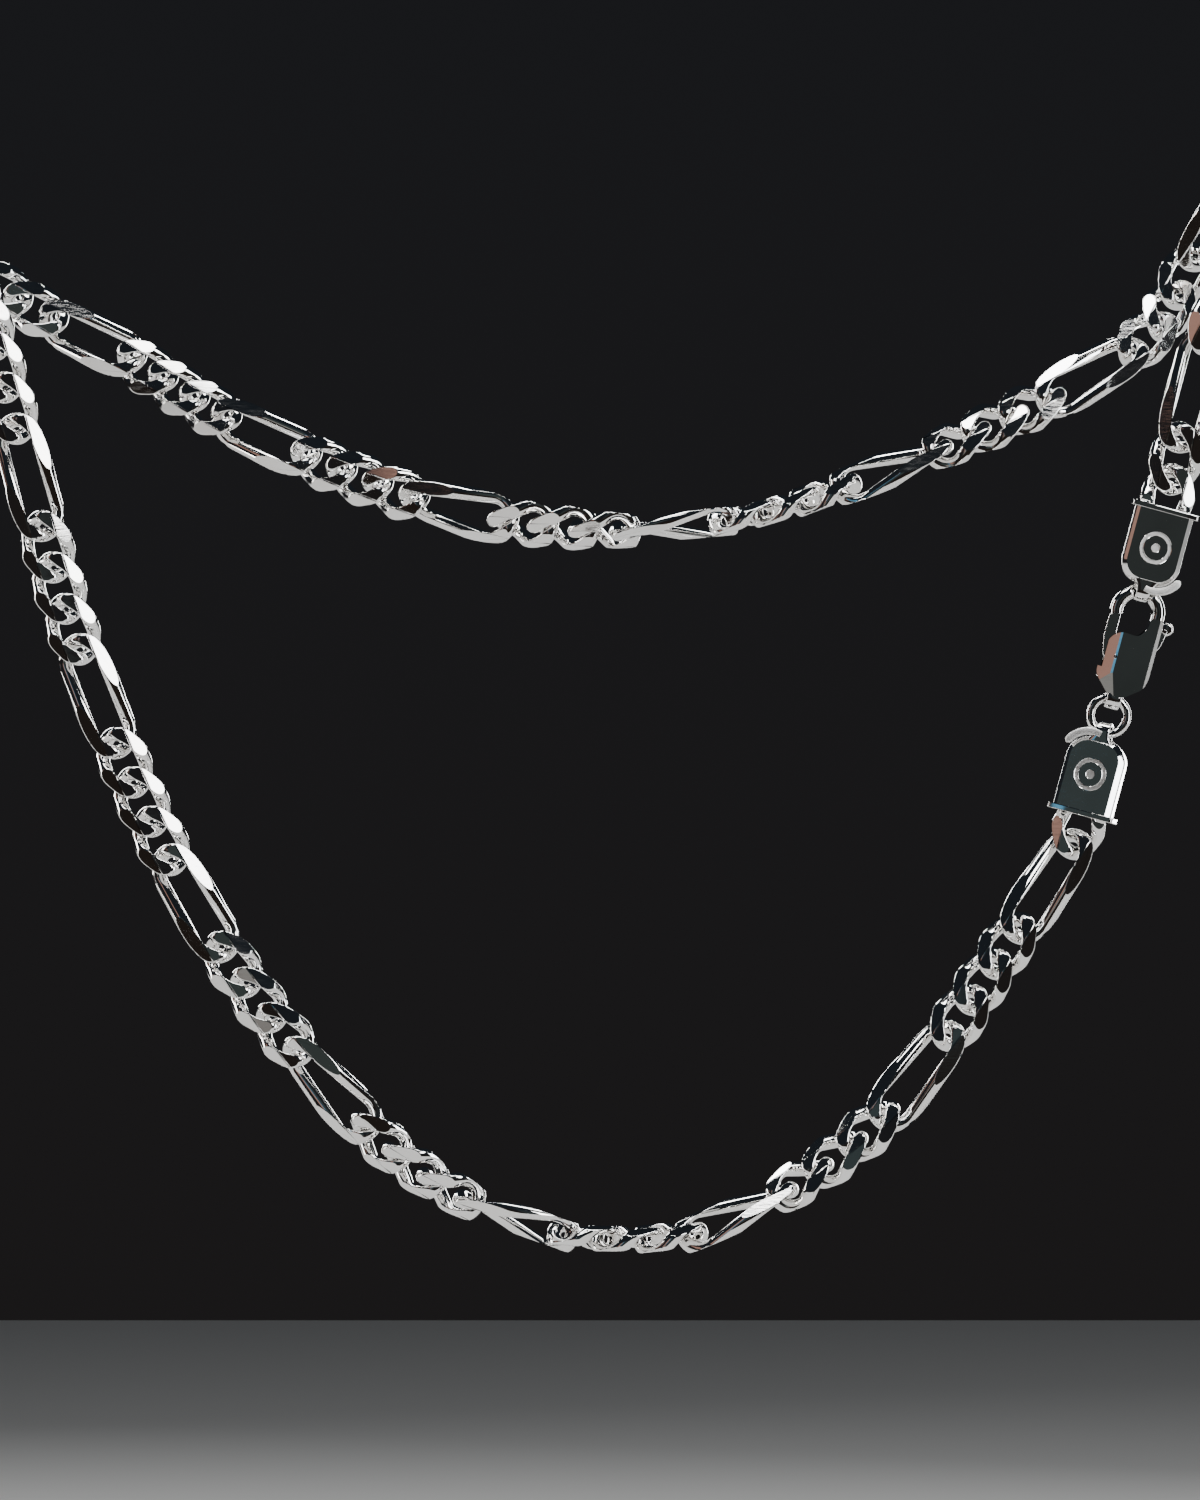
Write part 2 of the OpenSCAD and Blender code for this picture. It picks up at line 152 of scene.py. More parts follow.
def wire_path(pitch, tilt, bend_steps):
    """Places and directions along a link's wire: one round bend from tip to side, turned at each axis."""
    a, half_w = half_length(pitch), LINK_W / 2 - WIRE_R
    tilt = math.radians(-tilt)
    slope = math.atan(half_w / a * math.tan(tilt))
    side = (a * math.cos(slope) - half_w * math.cos(tilt)) / (1 + math.sin(tilt) * math.sin(slope))
    tip, way = np.array([a, 0, 0]), np.array([0, math.cos(tilt), math.sin(tilt)])
    chord = np.array([side * math.cos(slope), half_w, side * math.sin(slope)]) - tip
    lean = math.acos(way @ unit(chord))
    bend_r = np.linalg.norm(chord) / 2 / math.sin(lean)
    inward = (unit(chord) - math.cos(lean) * way) / math.sin(lean)
    quarter = []
    for k in range(bend_steps + 1):
        t = 2 * lean * k / bend_steps
        place = tip + bend_r * ((1 - math.cos(t)) * inward + math.sin(t) * way)
        quarter.append((place, math.sin(t) * inward + math.cos(t) * way))
    x, y, z = np.array([1, -1, -1]), np.array([-1, 1, -1]), np.array([-1, -1, 1])
    n = bend_steps
    return (quarter
            + [(quarter[k][0] * y, -quarter[k][1] * y) for k in range(n, 0, -1)]
            + [(p * z, d * z) for p, d in quarter]
            + [(quarter[k][0] * x, -quarter[k][1] * x) for k in range(n, 0, -1)])


def cut_off(bm, place, normal):
    """Cuts a closed mesh by a plane, drops what lies outside and closes it with flat faces."""
    geom = bm.verts[:] + bm.edges[:] + bm.faces[:]
    cut = bmesh.ops.bisect_plane(bm, geom=geom, plane_co=Vector(place), plane_no=Vector(normal),
                                 clear_outer=True, dist=1e-6)
    edges = [e for e in cut["geom_cut"] if isinstance(e, bmesh.types.BMEdge)]
    return bmesh.ops.holes_fill(bm, edges=edges, sides=0)["faces"]


def link_bmesh(pitch, tilt, bend_steps=12, sides=32):
    bm = bmesh.new()
    path = wire_path(pitch, tilt, bend_steps)
    rings = []
    for place, way in path:
        out = unit(np.cross(way, [0, 0, 1]))
        up = np.cross(way, out)
        turn = [2 * math.pi * (j + 0.5) / sides for j in range(sides)]
        rings.append([bm.verts.new(place + WIRE_R * (math.cos(t) * out + math.sin(t) * up)) for t in turn])
    n = len(rings)
    for i in range(n):
        for j in range(sides):
            a, b = rings[i], rings[(i + 1) % n]
            face = bm.faces.new((a[j], b[j], b[(j + 1) % sides], a[(j + 1) % sides]))
            face.smooth = True
    bmesh.ops.recalc_face_normals(bm, faces=bm.faces[:])
    t, w, b = CUT_T / 2, CUT_FLAT_W / 2, math.radians(CUT_BEVEL)
    for up in (1, -1):
        planes = [((0, 0, up * t), (0, 0, up))]
        planes += [((0, s * w, up * t), (0, s * math.sin(b), up * math.cos(b))) for s in (1, -1)]
        for place, normal in planes:
            for face in cut_off(bm, place, normal):
                face.smooth = False
    polish_rims(bm)
    return bm


def polish_rims(bm, width=0.08, drop=0.035):
    """Each flat facet gets a narrow rim that rolls over to the round wire, as polishing leaves it."""
    facets = [f for f in bm.faces if not f.smooth]
    rim_verts = {}
    for f in facets:
        for v in f.verts:
            if any(g.smooth for g in v.link_faces):
                rim_verts.setdefault(v, []).append(f.normal.copy())
    bmesh.ops.inset_individual(bm, faces=facets, thickness=width, use_even_offset=True)
    for v, normals in rim_verts.items():
        way = sum(normals, Vector()).normalized()
        v.co -= drop * way
    inner = set(facets)
    for e in bm.edges:
        e.smooth = not any(f in inner for f in e.link_faces)
    for f in bm.faces:
        f.smooth = True


def linked(bm, name):
    """An object in the scene that holds the mesh, which is freed."""
    mesh = bpy.data.meshes.new(name)
    bm.to_mesh(mesh)
    bm.free()
    obj = bpy.data.objects.new(name, mesh)
    bpy.context.scene.collection.objects.link(obj)
    return obj


def to_object(bm, name, material, body, *nodes, slot="silver"):
    """A finished piece: scaled to metres, riding on a CAD body and standing for its CAD nodes."""
    bmesh.ops.scale(bm, vec=(MM, MM, MM), verts=bm.verts[:])
    obj = linked(bm, name)
    obj.data.materials.append(material)
    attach(obj, body)
    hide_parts(*nodes)
    return obj


def parts_of(node):
    """The separate solids of a CAD node, as arrays of their corners in millimetres."""
    mesh = frame["nodes"][node].data
    co = np.array([v.co for v in mesh.vertices]) / MM
    keys, index = {}, []
    for p in np.round(co, 4):
        index.append(keys.setdefault(tuple(p), len(keys)))
    parent = list(range(len(keys)))

    def root(i):
        while parent[i] != i:
            parent[i] = parent[parent[i]]
            i = parent[i]
        return i

    for e in mesh.edges:
        a, b = root(index[e.vertices[0]]), root(index[e.vertices[1]])
        parent[a] = b
    groups = {}
    for key, i in keys.items():
        groups.setdefault(root(i), []).append(key)
    return [np.array(g) for g in groups.values()]


def frame_of(points):
    """A link's frame, from the spread of its corners: its long way, its width and its face."""
    centre = points.mean(0)
    _, axes = np.linalg.eigh(np.cov((points - centre).T))
    x, y = axes[:, 2], axes[:, 1]
    return matrix_of(x, y, centre)


def matrix_of(x, y, centre):
    """The frame with these X and Y directions at the centre."""
    z = np.cross(x, y)
    return Matrix([[x[k], y[k], z[k], centre[k]] for k in range(3)] + [[0, 0, 0, 1]])


def copies(template, matrices):
    """One mesh with a copy of the template at each frame."""
    bm = bmesh.new()
    mesh = bpy.data.meshes.new("copy")
    for m in matrices:
        one = template.copy()
        bmesh.ops.transform(one, matrix=m, verts=one.verts[:])
        one.to_mesh(mesh)
        one.free()
        bm.from_mesh(mesh)
    bpy.data.meshes.remove(mesh)
    return bm


short_template = link_bmesh(SHORT_PITCH, SHORT_TILT)
long_template = link_bmesh(LONG_PITCH, LONG_TILT, bend_steps=14)

frames = {}
for node in frame["nodes"]:
    if node.startswith(("long_link_", "short_link")):
        frames[node] = [frame_of(p) for p in parts_of(node)]


def ends(m, pitch):
    """The two places where a link hangs in its neighbours."""
    x, c = m.col[0].to_3d(), m.col[3].to_3d()
    return [c + x * pitch / 2, c - x * pitch / 2]


def closing_frame():
    """Frame of the closing link, which is whole here, while its CAD node is cut short of its neighbour.
    It runs from its own joint to the free end of the run on the other side of the gap."""
    joint_at = {j["name"]: Vector(j["pos_m"]) / MM for j in frame["joints"] if j["type"] == "hinge"}
    start = joint_at["trio_10_to_long_10"]

    def nearest_link(node):
        return min(frames[node], key=lambda m: min((e - start).length for e in ends(m, SHORT_PITCH)))

    last_short, first_short = nearest_link("short_links_09"), nearest_link("short_links_10")
    finish_at = min(ends(last_short, SHORT_PITCH), key=lambda e: (e - start).length)
    along = (finish_at - start).normalized()
    face = first_short.col[2].to_3d()
    other = last_short.col[2].to_3d()
    face = (face + (other if face.dot(other) > 0 else -other)).normalized()
    side = face.cross(along).normalized()
    middle = (start + finish_at) / 2
    return matrix_of(np.array(along), np.array(side), np.array(middle))


frames["long_link_10"] = [closing_frame()]


def uneven(m, k, most):
    """Links don't hang in perfect line: each is turned a little about its long way."""
    return m @ Matrix.Rotation(math.radians(most * math.sin(2.4 * k + 0.7 * math.sin(5.1 * k))), 4, "X")


count = 0
for node in sorted(frames):
    for i, m in enumerate(frames[node]):
        frames[node][i] = uneven(m, count, 1.2 if node.startswith("long") else 2.2)
        count += 1

body_of_node = {n: b for b, ns in frame["record"]["behaviour"]["bodies"].items() for n in ns}
for node, places in frames.items():
    template = long_template if node.startswith("long") else short_template
    to_object(copies(template, places), "chain_" + node, SILVER, body_of_node[node], node)


# ---- Pieces of the clasp and the tags, each made in its own frame on the line of the clasp
def on_line(at, turn=0.0, flip=False):
    """X to the right, Y along the line and Z to the front, turned about the line."""
    way = unit(LINE_END - LINE_START)
    right = unit(np.cross(way, [0, -1, 0]))
    frame_on_line = matrix_of(right, way, LINE_START + at * way)
    return (frame_on_line @ Matrix.Rotation(math.radians(turn), 4, "Y")
            @ Matrix.Rotation(math.pi if flip else 0.0, 4, "Z"))


def skin(bm, rings, closed=False):
    """Faces between rings of as many points each, and flat faces over the first and the last ring."""
    made = [[bm.verts.new(p) for p in ring] for ring in rings]
    n, sides = len(made), len(made[0])
    for i in range(n if closed else n - 1):
        a, b = made[i], made[(i + 1) % n]
        for j in range(sides):
            bm.faces.new((a[j], a[(j + 1) % sides], b[(j + 1) % sides], b[j]))
    if not closed:
        bm.faces.new(made[0][::-1])
        bm.faces.new(made[-1])
    return made


def finish_mesh(bm, crease=24):
    """Outward faces, shaded smooth but for the edges sharper than the crease, in degrees."""
    bmesh.ops.recalc_face_normals(bm, faces=bm.faces[:])
    for f in bm.faces:
        f.smooth = True
    for e in bm.edges:
        e.smooth = not (len(e.link_faces) == 2 and e.calc_face_angle(0) > math.radians(crease))
    return bm


def arc(centre, r, start, end, steps):
    """Points of an arc in a plane, with its angles in degrees."""
    turns = np.radians(np.linspace(start, end, steps + 1))
    return [(centre[0] + r * math.cos(t), centre[1] + r * math.sin(t)) for t in turns]


def filleted(points, r, steps=4, closed=True):
    """A polygon, or an open line, with each corner rounded to about the radius r."""
    points = [np.array(p, float) for p in points]
    n, out = len(points), []
    for i, p in enumerate(points):
        if not closed and i in (0, n - 1):
            out.append(tuple(p))
            continue
        before, after = points[i - 1] - p, points[(i + 1) % n] - p
        reach = min(r, 0.45 * np.linalg.norm(before), 0.45 * np.linalg.norm(after))
        a, b = p + reach * unit(before), p + reach * unit(after)
        for k in range(steps + 1):
            t = k / steps
            out.append(tuple((1 - t) ** 2 * a + 2 * t * (1 - t) * p + t * t * b))
    return out


def inset(points, d):
    """A polygon moved inwards by a small distance; its points run anticlockwise."""
    p = np.array(points, float)
    way = np.roll(p, -1, 0) - p
    way /= np.linalg.norm(way, axis=1)[:, None]
    normal = np.stack([-way[:, 1], way[:, 0]], 1)
    both = normal + np.roll(normal, 1, 0)
    both /= np.maximum((both ** 2).sum(1) / 2, 0.5)[:, None]
    return p + d * both


def slab(outline, thickness, edge=0.06, steps=3):
    """A flat piece with rounded edges, its outline in X and Y and its thickness along Z."""
    half = thickness / 2
    quarter = [(edge * (1 - math.sin(t)), half - edge * (1 - math.cos(t)))
               for t in np.linspace(0, math.pi / 2, steps + 1)][::-1]
    profile = [(d, -h) for d, h in quarter] + [(d, h) for d, h in quarter[::-1]]
    bm = bmesh.new()
    skin(bm, [[(x, y, h) for x, y in inset(outline, d)] for d, h in profile])
    return finish_mesh(bm)


def swept(stations, sides=24, square=4.0, closed=False):
    """A strip along stations of (place, across, up, half width, half thickness), rounded at its edges."""
    turns = [2 * math.pi * (j + 0.5) / sides for j in range(sides)]

    def corner(value, size):
        return math.copysign(abs(value) ** (2 / square), value) * size
    rings = [[np.array(place) + corner(math.cos(t), w) * np.array(across)
              + corner(math.sin(t), h) * np.array(up) for t in turns]
             for place, across, up, w, h in stations]
    bm = bmesh.new()
    skin(bm, rings, closed)
    return finish_mesh(bm, 50)


def tag_outline(d):
    """Outline of a tag with its sides moved inwards by d, anticlockwise from the plate's right end."""
    w, shoulder, r = TAG_W / 2, TAG_L - TAG_END_R, TAG_END_R - d
    right = [(w - d, y) for y in np.linspace(PLATE_T, shoulder, 7)]
    end = arc((w - TAG_END_R, shoulder), r, 0, 90, 16)[1:]
    end += arc((TAG_END_R - w, shoulder), r, 90, 180, 16)
    left = [(d - w, y) for y in np.linspace(shoulder, PLATE_T, 7)][1:]
    bottom = [(x, PLATE_T) for x in np.linspace(d - w, w - d, 11)][1:-1]
    return np.array(right + end + left + bottom)


def tag_shell():
    """Hollow tag: a raised face with chamfers down to its sides, and the engraved mark."""
    t, c = TAG_T / 2, TAG_CHAMFER
    profile = [(c + 0.03, -t + TAG_WALL), (c + 0.03, -t), (c - 0.02, -t), (0.0, -t + c), (0.0, t - c),
               (c, t)]
    profile = filleted(profile, 0.07, 3, closed=False)
    rings = [[(x, y, h) for x, y in tag_outline(d)] for d, h in profile]
    middle = np.array([0, TAG_L / 2 + 0.2])
    edge = tag_outline(c)
    far = edge - middle
    spoke = far / np.linalg.norm(far, axis=1)[:, None]
    for share in (0.3, 0.65):
        rings.append([(*(middle + (1 - share) * f + share * (MARK_R + 0.05) * s), t)
                      for f, s in zip(far, spoke)])
    low = t - MARK_DEPTH
    groove = MARK_R - MARK_LINE
    steps = [(MARK_R + 0.03, t), (MARK_R, t - 0.03), (MARK_R - 0.02, low), (groove + 0.02, low),
             (groove, t - 0.03), (groove - 0.03, t), (MARK_DOT_R + 0.03, t), (MARK_DOT_R, t - 0.03),
             (MARK_DOT_R - 0.02, low), (0.1, low)]
    first = len(rings)
    rings += [[(*(middle + r * s), h) for s in spoke] for r, h in steps]
    bm = bmesh.new()
    made = skin(bm, rings)
    frosted = [(first + 2, first + 3), (first + 8, first + 9)]
    for a, b in frosted:
        inside = set(made[a]) | set(made[b])
        for v in made[a]:
            for f in v.link_faces:
                if all(x in inside for x in f.verts):
                    f.material_index = FROSTED_SLOT
    for f in made[-1][0].link_faces:
        if len(f.verts) == len(made[-1]):
            f.material_index = FROSTED_SLOT
    return finish_mesh(bm)


def tag_back():
    """Back sheet, let into the shell's rim."""
    outline = tag_outline(TAG_WALL + 0.06)
    bm = slab(outline, TAG_WALL - 0.06, 0.05)
    bmesh.ops.translate(bm, vec=(0, 0, -TAG_T / 2 + TAG_WALL / 2 + 0.01), verts=bm.verts[:])
    return bm


def tag_plate():
    """End plate, a little wider and thicker than the tag."""
    w, t = PLATE_W / 2, (TAG_T + 0.5) / 2
    outline = filleted([(w, -t), (w, t), (-w, t), (-w, -t)], 0.3, 5)
    bm = slab(outline, PLATE_T, 0.08)
    bmesh.ops.rotate(bm, matrix=Matrix.Rotation(math.pi / 2, 3, "X"), verts=bm.verts[:])
    bmesh.ops.translate(bm, vec=(0, PLATE_T / 2, 0), verts=bm.verts[:])
    return bm


def tag_link():
    """Short link with one end soldered in the end plate, which cuts it off."""
    bm = short_template.copy()
    turn = Matrix.Translation((0, SHORT_PITCH / 2 - PLATE_GAP, 0)) @ Matrix.Rotation(math.pi / 2, 4, "Z")
    bmesh.ops.transform(bm, matrix=turn, verts=bm.verts[:])
    cut_off(bm, (0, 0.02, 0), (0, 1, 0))
    return bm


def tag_bail():
    """Strap that rises from the tag's front edge, folds over the next piece and comes down behind."""
    middle, half_t = (BAIL_R + BAIL_HOLE_R) / 2, (BAIL_R - BAIL_HOLE_R) / 2
    stations = []
    for k, y in enumerate(np.linspace(TAG_L - 0.35, BAIL_AT, 6)[:-1]):
        flare = 0.45 * (1 - k / 5) ** 2
        stations.append(((0, y, middle), (1, 0, 0), (0, 0, 1), BAIL_W / 2 + flare, half_t))
    for turn in np.linspace(0, math.pi, 19):
        place = (0, BAIL_AT + middle * math.sin(turn), middle * math.cos(turn))
        up = (0, math.sin(turn), math.cos(turn))
        narrow = 0.08 * math.sin(turn)
        stations.append((place, (1, 0, 0), up, BAIL_W / 2 - narrow, half_t))
    for k, y in enumerate(np.linspace(BAIL_AT, TAG_L - 0.35, 6)[1:]):
        flare = 0.3 * (k / 4) ** 2
        stations.append(((0, y, -middle), (1, 0, 0), (0, 0, -1), BAIL_W / 2 + flare, half_t))
    bm = swept(stations)
    add_to(bm, bail_tail())
    return bm


def bail_tail():
    """The strap's frosted tail, which curls round the tag's left shoulder to a rounded tip."""
    tail_w, tail_t, gap = 0.75, 0.45, 0.05
    reach = TAG_END_R + gap + tail_w / 2
    stations = []
    for turn in np.linspace(74, 158, 25):
        t = math.radians(turn)
        left = max(0.0, (turn - 146) / 12)
        slim = math.sqrt(max(0.0, 1 - left ** 2)) if left < 1 else 0.08
        place = (TAG_END_R - TAG_W / 2 + reach * math.cos(t), TAG_L - TAG_END_R + reach * math.sin(t),
                 BAIL_HOLE_R + tail_t / 2)
        stations.append((place, (math.cos(t), math.sin(t), 0), (0, 0, 1),
                         tail_w / 2 * max(slim, 0.12), tail_t / 2 * (0.55 + 0.45 * slim)))
    bm = swept(stations, square=2.8)
    for f in bm.faces:
        f.material_index = FROSTED_SLOT
    return bm


def add_to(bm, other):
    """Puts another mesh in the same piece."""
    mesh = bpy.data.meshes.new("joined")
    other.to_mesh(mesh)
    other.free()
    bm.from_mesh(mesh)
    bpy.data.meshes.remove(mesh)


def jump_ring():
    """Round wire ring, with the flush solder seam that closes it at one side."""
    stations = []
    for k in range(96):
        t = 2 * math.pi * k / 96
        way = (math.cos(t), math.sin(t), 0)
        swell = 0.012 * math.exp(-((t - 3.6) / 0.05) ** 2)
        stations.append(((RING_R * way[0], RING_R * way[1], 0), way, (0, 0, 1),
                         RING_WIRE_D / 2 + swell, RING_WIRE_D / 2 + swell))
    return swept(stations, 24, 2.0, closed=True)


def clasp_lever():
    """Lever with its gate, its bent trigger arm and the round knob."""
    arm = filleted([(-2.15, 4.5), (-1.5, 3.9), (-0.8, 3.7), (2.1, 4.9), (2.95, 6.4), (3.3, 8.2),
                    (2.6, 8.2), (2.15, 6.5), (-0.3, 5.4), (-1.36, 6.6), (-1.36, 9.02), (-2.45, 8.17),
                    (-2.45, 6.2)], 0.3, 4)
    bm = slab(arm, LEVER_T, 0.12, 4)
    profile = [(0.1, -LEVER_T / 2), (KNOB_R * 0.8, -LEVER_T / 2 + 0.04), (KNOB_R - 0.03, -0.2),
               (KNOB_R, 0.0), (KNOB_R - 0.03, 0.2), (KNOB_R * 0.8, LEVER_T / 2 - 0.04),
               (0.1, LEVER_T / 2)]
    profile = filleted(profile, 0.15, 3, closed=False)
    knob = bmesh.new()
    skin(knob, [[(KNOB_AT[0] + r * math.cos(t), KNOB_AT[1] + r * math.sin(t), h)
                 for t in np.linspace(0, 2 * math.pi, 49)[:-1]] for r, h in profile])
    add_to(bm, finish_mesh(knob, 40))
    return bm


def clasp_pin():
    """Pivot pin with slightly domed ends."""
    r, half = PIN_R, CLASP_T / 2
    profile = [(0.05, -half), (0.2, -half + 0.03), (r - 0.02, -half + 0.1), (r - 0.02, half - 0.1),
               (0.2, half - 0.03), (0.05, half)]
    bm = bmesh.new()
    skin(bm, [[(PIN_AT[0] + q * math.cos(t), PIN_AT[1] + q * math.sin(t), h)
               for t in np.linspace(0, 2 * math.pi, 33)[:-1]] for q, h in profile])
    return finish_mesh(bm, 40)


def clasp_spring():
    """Leaf spring, bent back on itself under the lever."""
    leaf = [(2.4, 3.86), (0.75, 3.28), (0.45, 3.45), (0.4, 3.85), (0.7, 4.2), (1.9, 4.74),
            (1.95, 4.62), (0.78, 4.1), (0.52, 3.82), (0.56, 3.52), (0.78, 3.41), (2.36, 3.97)]
    return slab(filleted(leaf[::-1], 0.08, 3), 0.6, 0.02)


def clasp_body():
    """Lobster clasp: two bevelled cheeks with room for the lever, a round hook and the eye below."""
    outline = filleted([(-0.7, 0.9), (0.7, 0.9), (2.35, 2.2), (2.65, 3.2), (2.66, 8.8), (1.37, 8.8),
                        (1.37, 7.8), (0.7, 6.8), (-0.9, 6.9), (-1.65, 6.4), (-2.25, 5.0), (-2.25, 2.6)],
                       0.5, 5)
    half = CLASP_T / 2
    bm = bmesh.new()
    skin(bm, [[(x, y, h) for x, y in outline] for h in (-half, half)])
    bmesh.ops.recalc_face_normals(bm, faces=bm.faces[:])
    # Planes that bevel both faces: two at the left, a facet below them and one at the right
    bevels = [((-0.8, 0, half), (-0.383, 0, 0.924)),
              ((-1.0, 0, half - 0.083), (-0.4305, 0, 0.9026)),
              ((-0.8, 3.0, half), (-0.338, -0.102, 0.936)),
              ((2.3, 0, half), (0.70, 0, 0.71))]
    for place, way in bevels:
        for s in (1, -1):
            cut_off(bm, (place[0], place[1], s * place[2]), (way[0], way[1], s * way[2]))
    finish_mesh(bm, 12)
    room = bmesh.new()
    skin(room, [[(x, y, h) for x, y in
                 [(-4, 3.4), (0.6, 3.2), (4, 4.4), (4, 8.3), (1.95, 8.3), (1.95, 7), (1.2, 7.8), (-4, 7.8)]]
                for h in (-LEVER_ROOM / 2, LEVER_ROOM / 2)])
    bmesh.ops.recalc_face_normals(room, faces=room.faces[:])
    bm = cut_out(bm, room)
    soften_edges(bm, 0.1)
    add_to(bm, clasp_hook())
    add_to(bm, clasp_eye())
    return bm


def clasp_hook():
    """Hook of the clasp: round at the side, and a thinner bar at the top for the strap over it."""
    stations = []
    path = [((2.01, y), (1, 0)) for y in np.linspace(7.6, 8.9, 6)[:-1]]
    middle = (0.05, 9.0)
    for turn in np.linspace(0, 197, 60):
        q = math.radians(turn)
        path.append((None, (math.cos(q), math.sin(q))))
    for place, way in path:
        from_top = abs(math.degrees(math.asin(way[1])) - 90)
        top = 1 / (1 + math.exp((from_top - 27) / 2)) if way[1] > 0 else 0.0
        wide, thick = 0.63 - 0.13 * top, 0.86 - 0.36 * top
        if place is None:
            r = 1.97 + 0.13 * top
            place = (middle[0] + r * way[0], middle[1] + r * way[1])
        stations.append(((*place, 0), (*way, 0), (0, 0, 1), wide, thick))
    return swept(stations, 32, 2.4)


def clasp_eye():
    """Flat eye across the clasp's lower end, for the jump ring."""
    eye_r, stations = 0.82, []
    for q in np.linspace(0, 2 * math.pi, 49)[:-1]:
        way = (0, math.sin(q), math.cos(q))
        place = (0, EYE_AT_CLASP + eye_r * way[1], eye_r * way[2])
        stations.append((place, (1, 0, 0), way, 0.7, 0.18))
    return swept(stations, 24, 3.5, closed=True)


def cut_out(bm, tool):
    """The mesh with the tool's space taken away."""
    objects = [linked(one, "cutting") for one in (bm, tool)]
    take = objects[0].modifiers.new("take", "BOOLEAN")
    take.operation, take.solver, take.object = "DIFFERENCE", "EXACT", objects[1]
    graph = bpy.context.evaluated_depsgraph_get()
    result = bmesh.new()
    result.from_mesh(objects[0].evaluated_get(graph).to_mesh())
    for obj in objects:
        bpy.data.objects.remove(obj)
    return result


def soften_edges(bm, width):
    """Rounds every crisp edge a little, so that it catches the light as a polished edge does."""
    bmesh.ops.remove_doubles(bm, verts=bm.verts[:], dist=0.004)
    bmesh.ops.dissolve_limit(bm, angle_limit=math.radians(1.0), verts=bm.verts[:], edges=bm.edges[:])
    crisp = [e for e in bm.edges if len(e.link_faces) == 2 and e.calc_face_angle(0) > math.radians(22)]
    bmesh.ops.bevel(bm, geom=crisp, offset=width, segments=3, profile=0.6, affect="EDGES",
                    clamp_overlap=True)
    # The broad faces stay flat; only the narrow rounded edges between them are shaded smooth
    for f in bm.faces:
        f.smooth = f.calc_area() < 0.5
    for e in bm.edges:
        e.smooth = not (len(e.link_faces) == 2 and e.calc_face_angle(0) > math.radians(40))


def placed(bm, matrix):
    """The mesh, moved into a frame."""
    bmesh.ops.transform(bm, matrix=matrix, verts=bm.verts[:])
    return bm


lower = on_line(PLATE_GAP, LOWER_TURN)
upper = on_line(UPPER_PLATE_AT, UPPER_TURN, flip=True)
for end, where in (("lower", lower), ("upper", upper)):
    body = end + "_tag"
    for kind, make in (("shell", tag_shell), ("back", tag_back), ("plate", tag_plate),
                       ("link", tag_link), ("bail", tag_bail)):
        node = f"{end}_tag_{kind}"
        piece = to_object(placed(make(), where), "look_" + node, SILVER, body, node)
        if kind in ("shell", "bail"):
            piece.data.materials.append(FROSTED)
clasp = on_line(CLASP_AT, CLASP_TURN)
to_object(placed(jump_ring(), on_line(RING_AT)), "look_jump_ring", SILVER, "ring", "jump_ring")
to_object(placed(clasp_body(), clasp), "look_clasp_body", SILVER, "clasp", "clasp_body")
to_object(placed(clasp_lever(), clasp), "look_clasp_lever", SILVER, "lever", "clasp_lever")
to_object(placed(clasp_pin(), clasp), "look_clasp_pin", SILVER, "clasp", "clasp_pin")
to_object(placed(clasp_spring(), clasp), "look_clasp_spring", STEEL, "clasp", "clasp_spring",
          slot="spring_steel")


# ---- Stage: pale floor, soft lights and dim surroundings
def plain(name, colour):
    mat, _, _, bsdf = new_material(name)
    bsdf.inputs["Base Color"].default_value = (*colour, 1)
    bsdf.inputs["Roughness"].default_value = 0.8
    return mat


def plane(name, material, corners):
    bm = bmesh.new()
    bm.faces.new([bm.verts.new(c) for c in corners])
    obj = linked(bm, name)
    obj.data.materials.append(material)
    return obj


# The floor starts just in front of the necklace, so that facets turned down to the front reflect dark
FLOOR_Z, FLOOR_HALF, FLOOR_FRONT = -0.2, 1.5, -0.22
PALE = plain("pale_floor", (0.72, 0.72, 0.71))
plane("floor", PALE, [(x * FLOOR_HALF, y, FLOOR_Z)
                      for x, y in ((-1, FLOOR_FRONT), (1, FLOOR_FRONT), (1, FLOOR_HALF), (-1, FLOOR_HALF))])

TARGET = Vector((0, 0, -0.05))


def softbox(name, azimuth, elevation, away, size, glow, colour=(1, 1, 1)):
    """A soft light that faces the necklace. Azimuth 0 is at the camera and 90 on the right; glow is how
    bright the light's face is."""
    az, el = math.radians(azimuth), math.radians(elevation)
    way = Vector((math.sin(az) * math.cos(el), -math.cos(az) * math.cos(el), math.sin(el)))
    data = bpy.data.lights.new(name, "AREA")
    data.shape = "RECTANGLE"
    data.size, data.size_y = size
    data.energy = glow * math.pi * size[0] * size[1]
    data.color = colour
    light = bpy.data.objects.new(name, data)
    bpy.context.scene.collection.objects.link(light)
    light.location = TARGET + away * way
    light.rotation_euler = (-way).to_track_quat("-Z", "Y").to_euler()
    return light


# Bright softboxes, which draw the lit facets and the rims
softbox("key", 36, 24, 0.8, (0.26, 0.34), 9)
softbox("right", 64, -4, 0.8, (0.15, 0.80), 9, (0.94, 0.97, 1.0))
softbox("left", -98, 10, 0.8, (0.14, 0.70), 10, (1.0, 0.97, 0.94))
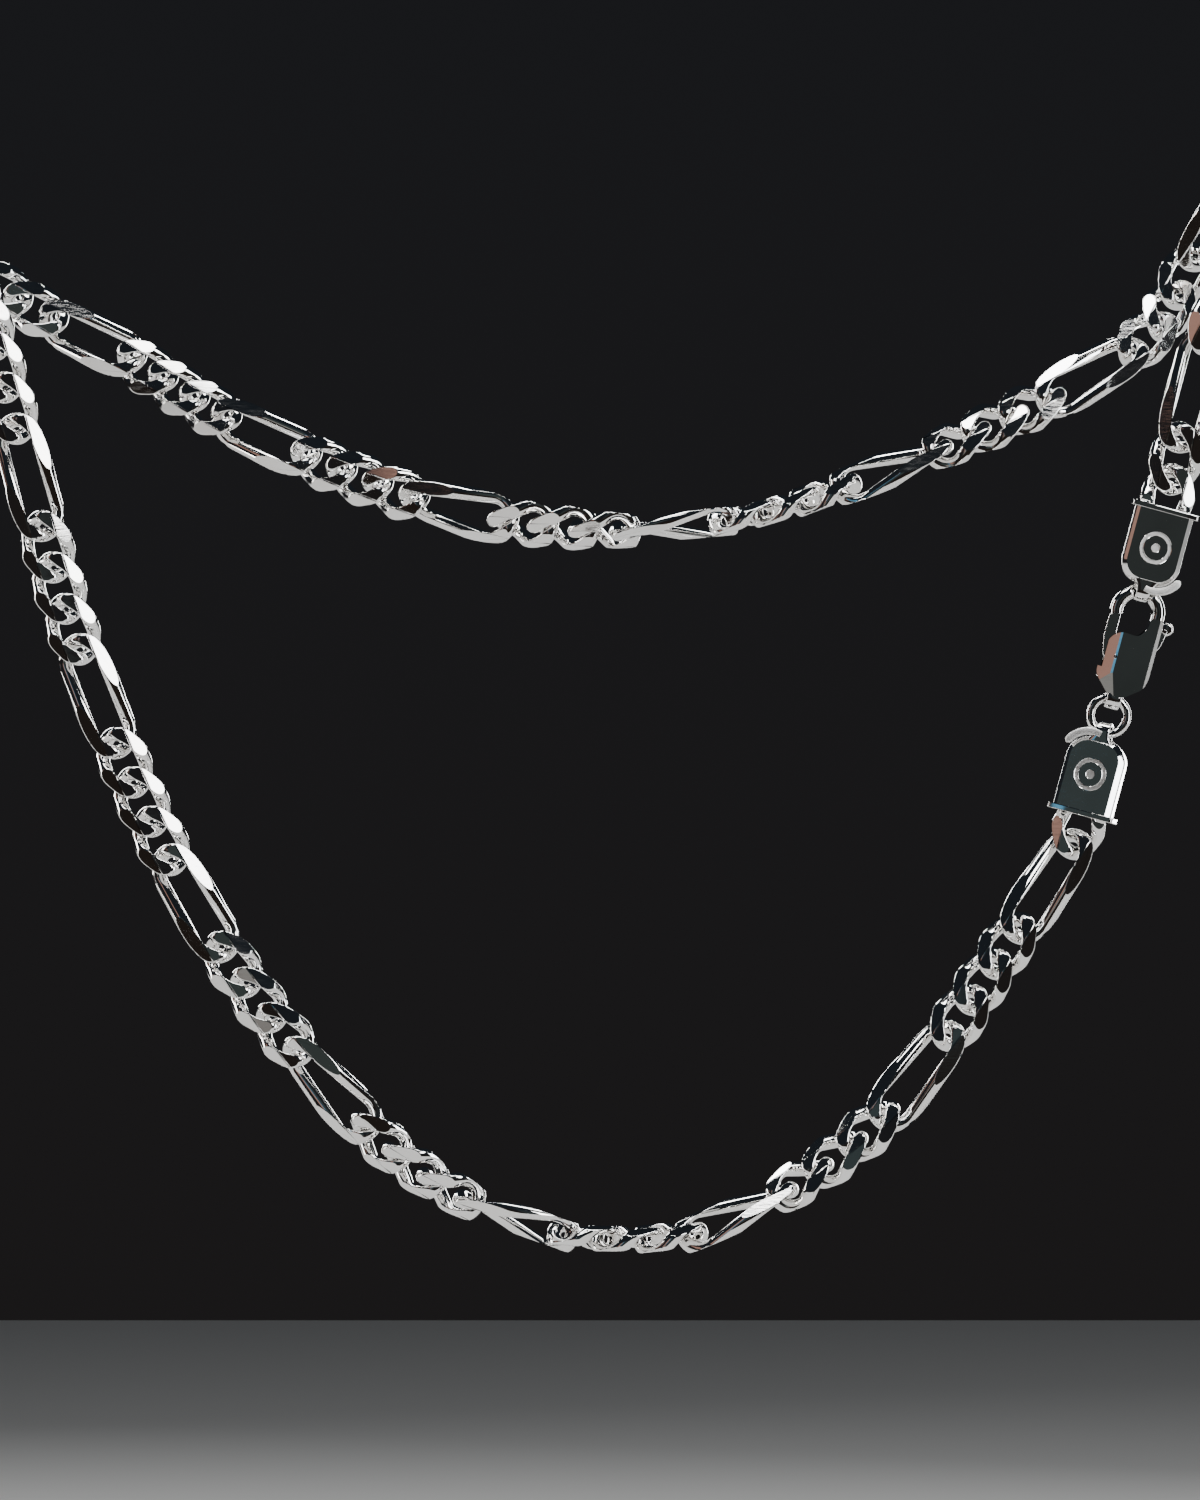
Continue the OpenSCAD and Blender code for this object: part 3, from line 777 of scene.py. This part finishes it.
# Dim coloured cards, which the bevels and the flat fronts of the clasp and tags mirror
softbox("warm_card", -37, 13, 0.8, (0.12, 0.36), 0.35, (1.0, 0.55, 0.42))
softbox("cool_card", -29.8, 14, 0.8, (0.034, 0.30), 0.5, (0.15, 0.60, 1.0))
softbox("grey_card", -27, -7, 0.8, (0.14, 0.14), 0.2, (1.0, 0.95, 0.90))
softbox("warm_side", -74, 18, 0.8, (0.10, 0.36), 0.35, (1.0, 0.55, 0.42))
softbox("front_left", -21, 8, 0.8, (0.30, 0.50), 0.035, (0.70, 0.97, 0.92))
softbox("front_right", 17, 4, 0.8, (0.16, 0.40), 0.02, (0.70, 0.97, 0.92))
# More bright softboxes, above, below and behind
softbox("top", 0, 80, 0.8, (0.90, 0.16), 12)
softbox("high_left", -40, 56, 0.8, (0.40, 0.06), 9)
softbox("low_left", -26, -38, 0.7, (0.30, 0.07), 6, (1.0, 0.96, 0.92))
softbox("back_left", -150, 22, 0.9, (0.14, 0.50), 12)
softbox("back_right", 150, 7, 0.9, (0.16, 0.60), 12)


def dim_surroundings(low, high):
    """A world that goes from one dim colour below to another above."""
    world = bpy.data.worlds.new("studio")
    bpy.context.scene.world = world
    world.use_nodes = True
    sky = world.node_tree
    where = sky.nodes.new("ShaderNodeTexCoord")
    split = sky.nodes.new("ShaderNodeSeparateXYZ")
    blend = sky.nodes.new("ShaderNodeValToRGB")
    blend.color_ramp.elements[0].color = (*low, 1)
    blend.color_ramp.elements[1].color = (*high, 1)
    blend.color_ramp.elements[0].position = 0.35
    blend.color_ramp.elements[1].position = 0.65
    shift = sky.nodes.new("ShaderNodeMapRange")
    shift.inputs["From Min"].default_value = -1
    sky.links.new(where.outputs["Generated"], split.inputs["Vector"])
    sky.links.new(split.outputs["Z"], shift.inputs["Value"])
    sky.links.new(shift.outputs["Result"], blend.inputs["Fac"])
    sky.links.new(blend.outputs["Color"], sky.nodes["Background"].inputs["Color"])


dim_surroundings((0.016, 0.012, 0.010), (0.011, 0.014, 0.018))
